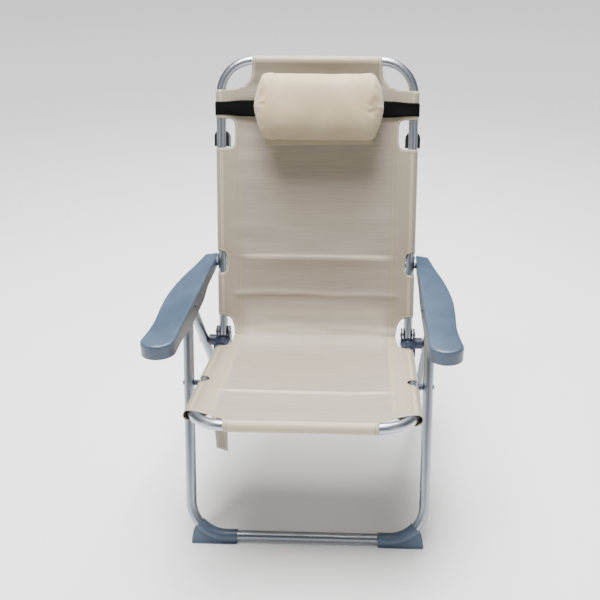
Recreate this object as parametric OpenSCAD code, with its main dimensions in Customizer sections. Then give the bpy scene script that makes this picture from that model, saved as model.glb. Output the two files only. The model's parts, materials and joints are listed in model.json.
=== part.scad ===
// Folding beach chair: two U-shaped tube frames joined at the hips, a front and a rear
// leg frame, moulded armrests with a hidden rack, and a fabric sling with a head pillow.
// Origin: on the floor, midway between the frontmost and rearmost points. The front is -Y.

/* [Overall pose] */
// Lean of the backrest from the vertical, in degrees
recline = 19.7; // [19:0.1:21]
// Rise of the seat towards its front, in degrees
seat_tilt = 8.7; // [8:0.1:9.5]
// Lean of the rear legs from the vertical, in degrees
rear_lean = 34.4; // [34:0.1:35]
// Height of the backrest hinge above the floor
hinge_z = 322; // [315:1:330]

/* [Tubes] */
// Outer radius of the frame tubes
tube_r = 11; // [10.5:0.5:11]
// Wall of the frame tubes
tube_wall = 1.3; // [1:0.1:2]
// Radius of the bends, to the tube's centre line
bend_r = 76; // [60:1:85]
// Outer radius of the crossbars
cross_r = 8; // [7:0.5:9]

/* [Frames] */
// Half the distance between the side tubes of the seat and of the backrest
side_x = 221; // [219:1:223]
// Half the distance between the front leg tubes
front_leg_x = 253; // [252:1:254]
// Half the distance between the rear leg tubes
rear_leg_x = 268; // [267:1:269]
// Hip line to the centre of the seat's front bar
seat_len = 434; // [425:1:440]
// Hinge to the centre of the backrest's top bar
back_len = 626; // [600:1:640]
// Height of the backrest hinge above the seat tube's centre line
hinge_rise = 22.7; // [22:0.1:24]
// Hip line to the front leg pivot, along the seat tube
leg_pivot_s = 245.7; // [240:0.1:250]
// Backrest hinge to the armrest pivot, along the backrest tube
arm_pivot_u = 165; // [160:1:170]
// Hip line to the seat crossbar
seat_cross_s = 300; // [290:1:310]
// Backrest hinge to the backrest crossbar
back_cross_u = 182; // [181:1:186]

/* [Armrests] */
// Inner face of the armrest, from the chair's middle
arm_x = 236; // [236:0.5:237]
// Armrest top above the pivot line
arm_top = 17; // [16:0.5:18]
// Armrest lower edge below the pivot line
arm_drop = 11; // [10:0.5:12]
// Armrest wall
arm_wall = 3; // [2.5:0.1:3]
// Armrest's front end, ahead of its rear pivot
arm_front = 467; // [450:1:480]
// Armrest's rear end, behind its rear pivot
arm_back = 25; // [20:1:26]

/* [Fabric] */
// Thickness of the fabric as a plain solid
cloth = 1.2; // [1:0.1:1.4]
// Gap between the fabric and the tubes
cloth_gap = 0.3; // [0.2:0.05:0.4]
// Pillow length
pillow_len = 290; // [270:1:300]
// Pillow height along the backrest
pillow_h = 146; // [130:1:150]
// Pillow depth, front to back
pillow_d = 80; // [60:1:84]

/* [Hidden] */
$fn = 48;
blue = [0.46, 0.56, 0.66];
shoe = [0.27, 0.35, 0.44];
dark = [0.22, 0.24, 0.31];
metal = [0.72, 0.74, 0.77];
steel = [0.55, 0.56, 0.58];
canvas = [0.75, 0.70, 0.62];
black = [0.06, 0.06, 0.07];

// Pins, rivets and the gap under their heads
pin_r = 3;
pin_hole_r = 3.05;
pin_head_r = 5.5;
pin_head_h = 1.5;
rivet_r = 2.5;
rivet_head_r = 4.5;
head_gap = 0.3;
side_gap = 0.1;
snug = 0.02;
drill_x = rear_leg_x + 40;

// Where the tubes end: below the hinge, behind the hip, and above the armrest bolt
tube_end_below = 8;
seat_tube_s = 18;
leg_top = 7;
floor_rise = 15;

sleeve_in = tube_r + cloth_gap;
sleeve_out = sleeve_in + cloth;

// Hinge bracket
bracket_x = 16.5;
bracket_len = 52;
bracket_r = 13.5;
bracket_screw_s = 36;
block_top = 7;
cheek = 4;
cheek_r = 14;

// Corner shoes
shoe_half = 12.5;
shoe_len = 104;
shoe_deep = 34;
cuff_angle = 52;

// Rack under the armrest and the rear leg's tongue that runs beneath it
arm_ceiling = arm_top - arm_wall;
arm_nose_r = 31;
rack_drop = 3;
rack_pitch = 20;
rack_places = 5;
rack_x = [280.5, 288];
rack_z = [2, arm_ceiling];
rack_screw_r = 1.5;
rack_screw_head_r = 2.6;
rack_screw_head_h = 1.6;
end_len = 40;
tongue_x = [rear_leg_x - 2, rear_leg_x + 9];
tongue_r = 8;

// Cloth edges along the seat and up the backrest
seat_cloth_s0 = 66;
seat_notch = [236, 266];
seat_sleeve_end = seat_len - bend_r;
seat_cloth_end = seat_len - 34;
crossbar_slot = [seat_cross_s - 11, seat_cross_s + 11];
front_sleeve_x = 143;
tab_x = [-166, -144];
ear_z = [500, 560];
ear_sleeve_top = back_len - bend_r;
side_sleeve_z = [196, 430];
low_sleeve_z = [45, 140];
top_sleeve_x = 143;

// Pillow, its strap, and the clips behind the backrest tubes
pillow_u = 517;
strap_t = 1;
strap_w = 36;
strap_in = sleeve_out + 0.3;
clip_u = 436;
clip_h = 38;
clip_half = 17;
clip_back = 30;
clip_rivet_u = clip_u + 16;

// The hip: the point on the seat tube's centre line below the backrest hinge
hip_z = hinge_z - hinge_rise * cos(seat_tilt);
hip_back = hinge_rise * sin(seat_tilt);
leg_pivot_z = hip_z + leg_pivot_s * sin(seat_tilt);
leg_pivot_back = hip_back + leg_pivot_s * cos(seat_tilt);
front_leg_len = (leg_pivot_z - floor_rise) / cos(recline);
rear_leg_len = (hip_z - floor_rise) / cos(rear_lean);
// The hinge's place along Y centres the chair on its origin
front_reach = hip_back + seat_len * cos(seat_tilt) + sleeve_out;
back_reach = back_len * sin(recline) + sleeve_out;
hinge_y = (front_reach - back_reach) / 2;
// The armrests stay parallel to the line from the front leg pivot to the hinge
arm_tilt = atan((leg_pivot_z - hinge_z) / leg_pivot_back);
arm_span = norm([leg_pivot_back, leg_pivot_z - hinge_z]);
// The rear leg's top pin lies on the rack line, below the pivot line
pin_rise = hinge_z + arm_pivot_u * cos(recline) - rack_drop - hip_z;
pin_run = arm_pivot_u * sin(recline) + hip_back;
rear_top = (pin_rise + pin_run * tan(arm_tilt)) / (cos(rear_lean) - sin(rear_lean) * tan(arm_tilt));
// Distance from the armrest's front bolt back to the rear leg's pin, along the armrest
pin_gap = arm_span - (rear_top * sin(rear_lean) + pin_run) / cos(arm_tilt) + rack_drop * tan(arm_tilt);
rack_s = [arm_span - 75, arm_span + 38];
rack_screw_s = [rack_s[0] + 6, rack_s[1] - 6];

// ---- frames of reference: -Y is forward, +Z is away from the seat or up a tube ----
module on_hinge() { translate([0, hinge_y, hinge_z]) children(); }
module in_back() { on_hinge() rotate([-recline, 0, 0]) children(); }
module in_seat() { translate([0, hinge_y - hip_back, hip_z]) rotate([-seat_tilt, 0, 0]) children(); }
module in_front_leg() {
    translate([0, hinge_y - leg_pivot_back, leg_pivot_z]) rotate([-recline, 0, 0]) children();
}
module in_rear_leg() {
    translate([0, hinge_y - hip_back, hip_z]) rotate([rear_lean, 0, 0]) children();
}
module in_arm() {
    in_back() translate([0, 0, arm_pivot_u]) rotate([recline - arm_tilt, 0, 0]) children();
}
// The same thing on the right and, mirrored, on the left
module both() {
    children();
    mirror([1, 0, 0]) children();
}

// ---- shared shapes ----
module rod_x(r, x0, x1) { translate([x0, 0, 0]) rotate([0, 90, 0]) cylinder(r = r, h = x1 - x0); }
module ring_x(r, hole, x0, x1) {
    difference() {
        rod_x(r, x0, x1);
        rod_x(hole, x0 - 1, x1 + 1);
    }
}

// Solid U in the XZ plane: a bar at z = 0, two bends, and legs up to z = top
module u_solid(half, top, r) {
    both() {
        translate([half, 0, bend_r]) cylinder(r = r, h = top - bend_r);
        translate([half - bend_r, 0, bend_r]) rotate([90, 0, 0]) rotate([0, 0, -90])
            rotate_extrude(angle = 90) translate([bend_r, 0]) circle(r);
    }
    rod_x(r, bend_r - half, half - bend_r);
}

module u_tube(half, top) {
    difference() {
        u_solid(half, top, tube_r);
        u_solid(half, top + 1, tube_r - tube_wall);
    }
}

// Hole across both side tubes at height z, drilled along X
module cross_hole(z, r) { translate([0, 0, z]) rod_x(r, -drill_x, drill_x); }

// Crossbar with ends coped to the side tubes
module coped_bar() {
    difference() {
        rod_x(cross_r, -side_x, side_x);
        rod_x(cross_r - tube_wall, -side_x - 1, side_x + 1);
        both() translate([side_x, 0, -2 * cross_r]) cylinder(r = tube_r + 0.05, h = 4 * cross_r);
    }
}

// Rivet through a side tube, with an anchor that fills the end of a crossbar
module crossbar_rivet() {
    anchor_x = side_x - tube_r - 8;
    rod_x(rivet_r, anchor_x - 1, side_x + tube_r);
    rod_x(cross_r - tube_wall, anchor_x - 12, anchor_x);
}

// Pin along X with a turned head at each end
module headed_pin(x0, x1, head_r, head_h) {
    rod_x(pin_r, x0, x1);
    rod_x(head_r, x0 - head_h, x0);
    rod_x(head_r, x1, x1 + head_h);
}

// Fabric sleeve round a tube that runs along Y, from s0 to s1 ahead of the hip
module sleeve_y(s0, s1) {
    translate([0, -s1, 0]) rotate([-90, 0, 0]) difference() {
        cylinder(r = sleeve_out, h = s1 - s0);
        translate([0, 0, -1]) cylinder(r = sleeve_in, h = s1 - s0 + 2);
    }
}

// Fabric sleeve round a tube that runs along Z
module sleeve_z(z0, z1) {
    translate([0, 0, z0]) difference() {
        cylinder(r = sleeve_out, h = z1 - z0);
        translate([0, 0, -1]) cylinder(r = sleeve_in, h = z1 - z0 + 2);
    }
}

function mirrored(p) = concat(p, [for (i = [len(p) - 1:-1:0]) [-p[i][0], p[i][1]]]);

// ---- seat ----
module seat_frame() {
    color(metal) in_seat() difference() {
        translate([0, -seat_len, 0]) rotate([-90, 0, 0]) u_tube(side_x, seat_len - seat_tube_s);
        translate([0, -leg_pivot_s, 0]) cross_hole(0, pin_hole_r);
        translate([0, -seat_cross_s, 0]) cross_hole(0, rivet_r);
        both() translate([side_x, -bracket_screw_s, -2 * tube_r]) cylinder(r = rivet_r, h = 4 * tube_r);
    }
}

module seat_crossbar() {
    color(metal) in_seat() translate([0, -seat_cross_s, 0]) rotate([90, 0, 0]) coped_bar();
}

// The heads are flush, as the fabric sleeves pass over them
module seat_rivets() {
    color(steel) in_seat() both() translate([0, -seat_cross_s, 0]) crossbar_rivet();
}

// Moulded fork: a socket on the seat tube, two cheeks for the backrest, and a boss
// on the outside that carries the rear leg
module hinge_bracket() {
    difference() {
        union() {
            translate([side_x - bracket_x, -bracket_len, -bracket_r])
                cube([2 * bracket_x, bracket_len + bracket_r, bracket_r + block_top]);
            translate([side_x, -bracket_len, 0]) rotate([-90, 0, 0])
                cylinder(r = bracket_r, h = bracket_len - seat_tube_s);
            for (x = [side_x - bracket_x, side_x + bracket_x - cheek]) {
                translate([x, -cheek_r, 0]) cube([cheek, 2 * cheek_r, hinge_rise]);
                translate([0, 0, hinge_rise]) rod_x(cheek_r, x, x + cheek);
            }
            rod_x(bracket_r, side_x + bracket_x, rear_leg_x - tube_r - head_gap);
        }
        translate([side_x, -bracket_len - 1, 0]) rotate([-90, 0, 0])
            cylinder(r = tube_r + snug, h = bracket_len + 1 - seat_tube_s);
        rod_x(pin_hole_r, side_x - bracket_x - 1, rear_leg_x);
        translate([0, 0, hinge_rise]) rod_x(pin_hole_r, side_x - bracket_x - 1, rear_leg_x);
        translate([side_x, -bracket_screw_s, -2 * tube_r]) cylinder(r = rivet_r + snug, h = 4 * tube_r);
    }
}
module hinge_bracket_left() { color(dark) in_seat() mirror([1, 0, 0]) hinge_bracket(); }
module hinge_bracket_right() { color(dark) in_seat() hinge_bracket(); }

// Screw up through each bracket and the seat tube, flush on top
module bracket_screws() {
    color(steel) in_seat() both() translate([side_x, -bracket_screw_s, 0]) {
        translate([0, 0, -bracket_r]) cylinder(r = rivet_r, h = 2 * bracket_r - 1);
        translate([0, 0, -bracket_r - 2]) cylinder(r = rivet_head_r, h = 2);
    }
}

module leg_spacers() {
    color(dark) in_seat() both() translate([0, -leg_pivot_s, 0])
        ring_x(6, pin_hole_r, side_x + tube_r + side_gap, front_leg_x - tube_r - side_gap);
}

// Seat panel lying on the tubes, with a front sleeve, and side sleeves that are notched at
// the leg pivots and slotted for the crossbar
module seat_sling() {
    edge = mirrored([[side_x, -seat_cloth_s0], [side_x, -seat_notch[0]],
        [side_x - 14, -seat_notch[0] - 4], [side_x - 14, -seat_notch[1] + 4],
        [side_x, -seat_notch[1]], [side_x, -seat_cloth_end],
        [side_x - 36, -seat_cloth_end - 14], [front_sleeve_x, -seat_len]]);
    color(canvas) in_seat() {
        translate([0, 0, sleeve_in]) linear_extrude(cloth) polygon(edge);
        both() translate([side_x, 0, 0]) {
            sleeve_y(seat_cloth_s0, seat_notch[0]);
            sleeve_y(seat_notch[1], crossbar_slot[0]);
            sleeve_y(crossbar_slot[1], seat_sleeve_end);
        }
        translate([0, -seat_len, 0]) ring_x(sleeve_out, sleeve_in, -front_sleeve_x, front_sleeve_x);
    }
}

// Short fabric tab sewn under the panel at the left front corner, hanging behind the bar
module closing_strap() {
    hang = 60;
    color(canvas) in_seat() translate([tab_x[0], -seat_len + tube_r + 5, -hang])
        cube([tab_x[1] - tab_x[0], cloth, hang + sleeve_in]);
}

// ---- backrest ----
module back_pins() {
    color(steel) on_hinge() both()
        headed_pin(side_x - bracket_x - head_gap, side_x + bracket_x + head_gap, pin_head_r, 2);
}

module back_frame() {
    color(metal) in_back() difference() {
        translate([0, 0, back_len]) rotate([180, 0, 0]) u_tube(side_x, back_len + tube_end_below);
        cross_hole(0, pin_hole_r);
        cross_hole(arm_pivot_u, pin_hole_r);
        cross_hole(back_cross_u, rivet_r);
        both() translate([side_x, 0, clip_rivet_u]) rotate([-90, 0, 0]) cylinder(r = rivet_r, h = 2 * tube_r);
    }
}

module back_crossbar() {
    color(metal) in_back() translate([0, 0, back_cross_u]) coped_bar();
}

module back_rivets() {
    color(steel) in_back() translate([0, 0, back_cross_u]) both() {
        crossbar_rivet();
        translate([side_x + tube_r, 0, 0]) rotate([0, 90, 0])
            cylinder(r1 = rivet_head_r, r2 = 3, h = 1.2);
    }
}

// Plastic plug in each lower end of the backrest tube
module back_tube_plugs() {
    cap = 1.2;
    color(dark) in_back() both() translate([side_x, 0, -tube_end_below]) {
        difference() {
            cylinder(r = tube_r - tube_wall, h = tube_end_below + 10);
            translate([0, 0, tube_end_below]) rod_x(pin_hole_r, -2 * tube_r, 2 * tube_r);
        }
        translate([0, 0, -cap]) cylinder(r = tube_r - 1, h = cap);
    }
}

module arm_spacers() {
    color(dark) in_back() translate([0, 0, arm_pivot_u]) both()
        ring_x(7, pin_hole_r, side_x + tube_r + side_gap, arm_x - 2 * side_gap);
}

// Back panel lying on the front of the tubes, with its sleeves and cut-outs
module back_sling() {
    edge = mirrored([[side_x, low_sleeve_z[0]], [side_x, low_sleeve_z[1]],
        [side_x - 16, low_sleeve_z[1] + 8], [side_x - 16, side_sleeve_z[0] - 8],
        [side_x, side_sleeve_z[0]], [side_x, side_sleeve_z[1]],
        [side_x - 32, side_sleeve_z[1] + 14], [side_x - 32, ear_z[0] - 14],
        [side_x, ear_z[0]], [side_x, ear_z[1]],
        [side_x - 38, ear_z[1] + 12], [top_sleeve_x + 10, back_len - 24], [top_sleeve_x, back_len]]);
    color(canvas) in_back() {
        translate([0, -sleeve_in, 0]) rotate([90, 0, 0]) linear_extrude(cloth) polygon(edge);
        both() translate([side_x, 0, 0]) {
            sleeve_z(low_sleeve_z[0], low_sleeve_z[1]);
            sleeve_z(side_sleeve_z[0], side_sleeve_z[1]);
            sleeve_z(ear_z[0], ear_sleeve_top);
        }
        translate([0, 0, back_len]) ring_x(sleeve_out, sleeve_in, -top_sleeve_x, top_sleeve_x);
    }
}

// Roll-shaped pillow hanging on the elastic strap
module head_pillow() {
    back_y = strap_in + strap_t + 0.3;
    color(canvas) in_back() translate([0, -back_y - pillow_d / 2, pillow_u])
        rotate([0, 90, 0]) linear_extrude(pillow_len, center = true) {
            square([pillow_h - pillow_d, pillow_d], center = true);
            for (a = [-1, 1]) translate([a * (pillow_h - pillow_d) / 2, 0]) circle(pillow_d / 2);
        }
}

// Flat loop that spans both side tubes, r out from their centre lines
module strap_loop(r, h) {
    both() translate([side_x, 0, 0]) cylinder(r = r, h = h);
    translate([-side_x, -r, 0]) cube([2 * side_x, 2 * r, h]);
}

// Black elastic round the backrest, in front of the sling and behind it
module pillow_strap() {
    color(black) in_back() translate([0, 0, pillow_u - strap_w / 2]) difference() {
        strap_loop(strap_in + strap_t, strap_w);
        translate([0, 0, -1]) strap_loop(strap_in, strap_w + 2);
    }
}

// Arch-topped black clip behind the backrest tube
module tube_clip() {
    difference() {
        translate([side_x, clip_back, clip_u]) rotate([90, 0, 0]) linear_extrude(clip_back - 1) {
            translate([-clip_half, 0]) square([2 * clip_half, clip_h - clip_half]);
            translate([0, clip_h - clip_half]) circle(clip_half);
        }
        translate([side_x, 0, clip_u - 1]) cylinder(r = tube_r + 0.05, h = clip_h + 2);
        translate([side_x, 0, clip_rivet_u]) rotate([-90, 0, 0])
            cylinder(r = rivet_r + snug, h = 2 * clip_back);
    }
}
module tube_clip_left() { color(black) in_back() mirror([1, 0, 0]) tube_clip(); }
module tube_clip_right() { color(black) in_back() tube_clip(); }

// Rivet through the tube's rear wall and the clip
module clip_rivets() {
    from = tube_r - tube_wall - 1;
    color(steel) in_back() both() translate([side_x, 0, clip_rivet_u]) rotate([-90, 0, 0]) {
        translate([0, 0, from]) cylinder(r = rivet_r, h = clip_back + side_gap - from);
        translate([0, 0, clip_back + side_gap]) cylinder(r = 5, h = 1.5);
    }
}

// ---- armrests ----
// Half-width profile of the armrest's outer edge: distance ahead of the rear pivot, and X
ARM_EDGE = [[-arm_back, 264], [50, 275], [110, 287], [170, 296], [235, 301],
            [300, 299], [360, 295], [405, 297], [436, 301]];
function edge_x(s, i = 0) =
    (i >= len(ARM_EDGE) - 2 || s <= ARM_EDGE[i + 1][0])
        ? ARM_EDGE[i][1] + (ARM_EDGE[i + 1][1] - ARM_EDGE[i][1])
            * (s - ARM_EDGE[i][0]) / (ARM_EDGE[i + 1][0] - ARM_EDGE[i][0])
        : edge_x(s, i + 1);
// Averaging the straight segments over a short window rounds their corners
function soft_edge_x(s) = (edge_x(s - 18) + edge_x(s - 9) + edge_x(s) + edge_x(s + 9) + edge_x(s + 18)) / 5;

// Outline in plan, pulled in by a margin all round
function arm_outline(m) = let (
        s_nose = arm_front - arm_nose_r, x_in = arm_x + m, x_out = soft_edge_x(s_nose - 1) - m,
        mid = (x_in + x_out) / 2, half = (x_out - x_in) / 2)
    concat(
        [[x_in, arm_back - m]],
        [for (s = [-arm_back + m:12:s_nose - 6]) [soft_edge_x(s) - m, -s]],
        [for (a = [0:10:180]) [mid + half * cos(a), -s_nose - (arm_nose_r - m) * sin(a)]]);

// Armrest shell, open below, with holes for its two pivots in the inner wall
module armrest() {
    difference() {
        translate([0, 0, -arm_drop]) linear_extrude(arm_top + arm_drop) polygon(arm_outline(0));
        translate([0, 0, -arm_drop - 1]) linear_extrude(arm_ceiling + arm_drop + 1)
            polygon(arm_outline(arm_wall));
        for (s = [0, arm_span]) translate([0, -s, 0]) rod_x(pin_hole_r, arm_x - 5, arm_x + 8);
        for (s = rack_screw_s) translate([(rack_x[0] + rack_x[1]) / 2, -s, 0])
            cylinder(r = rack_screw_r, h = arm_top - 1);
    }
}
module armrest_left() { color(blue) in_arm() mirror([1, 0, 0]) armrest(); }
module armrest_right() { color(blue) in_arm() armrest(); }

// Toothed rack under the armrest's top, beside the outer wall. Its scalloped lower
// edge holds the rear leg's pin in one of five places
module rack() {
    notch_r = 4.6;
    difference() {
        translate([rack_x[0], -rack_s[1], rack_z[0]])
            cube([rack_x[1] - rack_x[0], rack_s[1] - rack_s[0], rack_z[1] - rack_z[0]]);
        for (i = [0:rack_places - 1])
            translate([0, -(arm_span - pin_gap + i * rack_pitch), rack_z[0]])
                rod_x(notch_r, rack_x[0] - 1, rack_x[1] + 1);
        for (s = rack_screw_s) translate([(rack_x[0] + rack_x[1]) / 2, -s, rack_z[0] - 1]) {
            cylinder(r = rack_screw_r + snug, h = 2 * arm_top);
            cylinder(r = rack_screw_head_r + snug, h = 1 + rack_screw_head_h + snug);
        }
    }
}
module rack_left() { color(dark) in_arm() mirror([1, 0, 0]) rack(); }
module rack_right() { color(dark) in_arm() rack(); }

// Sunk screws that hold each rack up against the armrest's top
module rack_screws() {
    for (s = rack_screw_s) translate([(rack_x[0] + rack_x[1]) / 2, -s, rack_z[0]]) {
        cylinder(r = rack_screw_r, h = arm_top - 1 - rack_z[0]);
        cylinder(r = rack_screw_head_r, h = rack_screw_head_h);
    }
}
module rack_screws_left() { color(steel) in_arm() mirror([1, 0, 0]) rack_screws(); }
module rack_screws_right() { color(steel) in_arm() rack_screws(); }

// Pivot pin between a backrest tube and its armrest
module arm_pin() {
    inner_x = side_x - tube_r - head_gap;
    outer_x = arm_x + arm_wall + head_gap;
    rod_x(pin_r, inner_x, outer_x);
    rod_x(pin_head_r, inner_x - 2, inner_x);
    rod_x(7, outer_x, outer_x + 2);
}
module arm_pin_left() { color(steel) in_arm() mirror([1, 0, 0]) arm_pin(); }
module arm_pin_right() { color(steel) in_arm() arm_pin(); }

// ---- front legs ----
module front_leg_pins() {
    color(steel) in_front_leg() both()
        headed_pin(side_x - tube_r - head_gap, front_leg_x + tube_r + head_gap, 5, pin_head_h);
}

module front_leg_frame() {
    color(metal) in_front_leg() difference() {
        translate([0, 0, -front_leg_len]) u_tube(front_leg_x, front_leg_len + arm_pivot_u + leg_top);
        cross_hole(0, pin_hole_r);
        cross_hole(arm_pivot_u, pin_r);
    }
}

// Domeless plug in each leg top, drilled for the armrest bolt
module front_leg_plugs() {
    plug = 20;
    color(dark) in_front_leg() both() translate([front_leg_x, 0, arm_pivot_u + leg_top - plug])
        difference() {
            cylinder(r = tube_r - tube_wall, h = plug + 1);
            translate([0, 0, plug - leg_top]) rod_x(pin_r + snug, -2 * tube_r, 2 * tube_r);
        }
}

// Bolt through each leg top and the armrest's inner wall. Its outer head stays thin,
// as the rear leg's tongue passes just outside it
module front_leg_bolts() {
    leg_face = front_leg_x + tube_r + side_gap;
    color(steel) in_front_leg() translate([0, 0, arm_pivot_u]) both() {
        rod_x(pin_r, arm_x - head_gap, leg_face);
        rod_x(5, arm_x - head_gap - pin_head_h, arm_x - head_gap);
        rod_x(5, leg_face, tongue_x[0] - 0.5);
    }
}

// Point in a leg frame's plane, r out from the bend's centre line and a degrees round it
function bend_point(half, r, a) =
    [half - bend_r + (bend_r + r) * sin(a), bend_r - (bend_r + r) * cos(a)];

// Corner shoe: a slab in the plane of a leg frame, bored for the bend and the floor bar
module shoe_block(half) {
    inner_x = half - shoe_len;
    outline = concat(
        [[inner_x, -shoe_deep], [half - 9, -shoe_deep], [half - 4, -4], [half - 2, 18]],
        [bend_point(half, shoe_half, cuff_angle)],
        [for (a = [cuff_angle:-4:0]) bend_point(half, -shoe_half, a)],
        [[inner_x, shoe_half]]);
    difference() {
        rotate([90, 0, 0]) linear_extrude(2 * shoe_half, center = true) polygon(outline);
        u_solid(half, 2 * bend_r, tube_r);
    }
}

// Everything under the floor near a floor bar at y
module below_floor(y) {
    reach = 60;
    translate([0, y - reach, -reach]) cube([rear_leg_x + reach, 2 * reach, reach]);
}

module front_foot() {
    difference() {
        in_front_leg() translate([0, 0, -front_leg_len]) shoe_block(front_leg_x);
        below_floor(hinge_y - leg_pivot_back - front_leg_len * sin(recline));
    }
}
module front_foot_left() { color(shoe) mirror([1, 0, 0]) front_foot(); }
module front_foot_right() { color(shoe) front_foot(); }

// ---- rear legs ----
module rear_leg_pins() {
    color(steel) in_rear_leg() both() headed_pin(side_x - bracket_x - head_gap,
        rear_leg_x + tube_r + head_gap, pin_head_r, pin_head_h);
}

module rear_leg_frame() {
    color(metal) in_rear_leg() difference() {
        translate([0, 0, -rear_leg_len]) u_tube(rear_leg_x, rear_leg_len + rear_top - end_len);
        cross_hole(0, pin_hole_r);
    }
}

// Moulded end of a rear leg: a plug in the tube and a flat tongue that carries the rack pin
module rear_leg_end() {
    plug = 20;
    collar = 5;
    difference() {
        union() {
            translate([rear_leg_x, 0, rear_top - end_len]) {
                translate([0, 0, -plug]) cylinder(r = tube_r - tube_wall, h = plug);
                cylinder(r = tube_r, h = collar);
            }
            translate([tongue_x[0], -tongue_r, rear_top - end_len + collar - 1])
                cube([tongue_x[1] - tongue_x[0], 2 * tongue_r, end_len - collar + 1]);
            translate([0, 0, rear_top]) rod_x(tongue_r, tongue_x[0], tongue_x[1]);
        }
        translate([0, 0, rear_top]) rod_x(pin_r, tongue_x[0] - 1, tongue_x[1] + 1);
    }
}
module rear_leg_end_left() { color(dark) in_rear_leg() mirror([1, 0, 0]) rear_leg_end(); }
module rear_leg_end_right() { color(dark) in_rear_leg() rear_leg_end(); }

// Pin on each tongue that runs under the rack's teeth
module rack_pins() {
    color(steel) in_rear_leg() translate([0, 0, rear_top]) both() {
        rod_x(pin_r, tongue_x[0], tongue_x[1]);
        rod_x(4, tongue_x[1], rack_x[1] - 1);
    }
}

module rear_foot() {
    difference() {
        in_rear_leg() translate([0, 0, -rear_leg_len]) shoe_block(rear_leg_x);
        below_floor(hinge_y - hip_back + rear_leg_len * sin(rear_lean));
    }
}
module rear_foot_left() { color(shoe) mirror([1, 0, 0]) rear_foot(); }
module rear_foot_right() { color(shoe) rear_foot(); }

seat_frame();
seat_crossbar();
seat_rivets();
hinge_bracket_left();
hinge_bracket_right();
bracket_screws();
leg_spacers();
seat_sling();
closing_strap();
back_pins();
back_frame();
back_crossbar();
back_rivets();
back_tube_plugs();
arm_spacers();
back_sling();
head_pillow();
pillow_strap();
tube_clip_left();
tube_clip_right();
clip_rivets();
arm_pin_left();
arm_pin_right();
armrest_left();
armrest_right();
rack_left();
rack_right();
rack_screws_left();
rack_screws_right();
front_leg_pins();
front_leg_frame();
front_foot_left();
front_foot_right();
front_leg_bolts();
front_leg_plugs();
rear_leg_pins();
rear_leg_frame();
rear_foot_left();
rear_foot_right();
rear_leg_end_left();
rear_leg_end_right();
rack_pins();
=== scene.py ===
"""Looks of the folding beach chair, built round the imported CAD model.

Lengths are in millimetres. on_back, on_seat, on_arm and LegPlane.point turn them into metres.
"""
import json
import math

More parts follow.
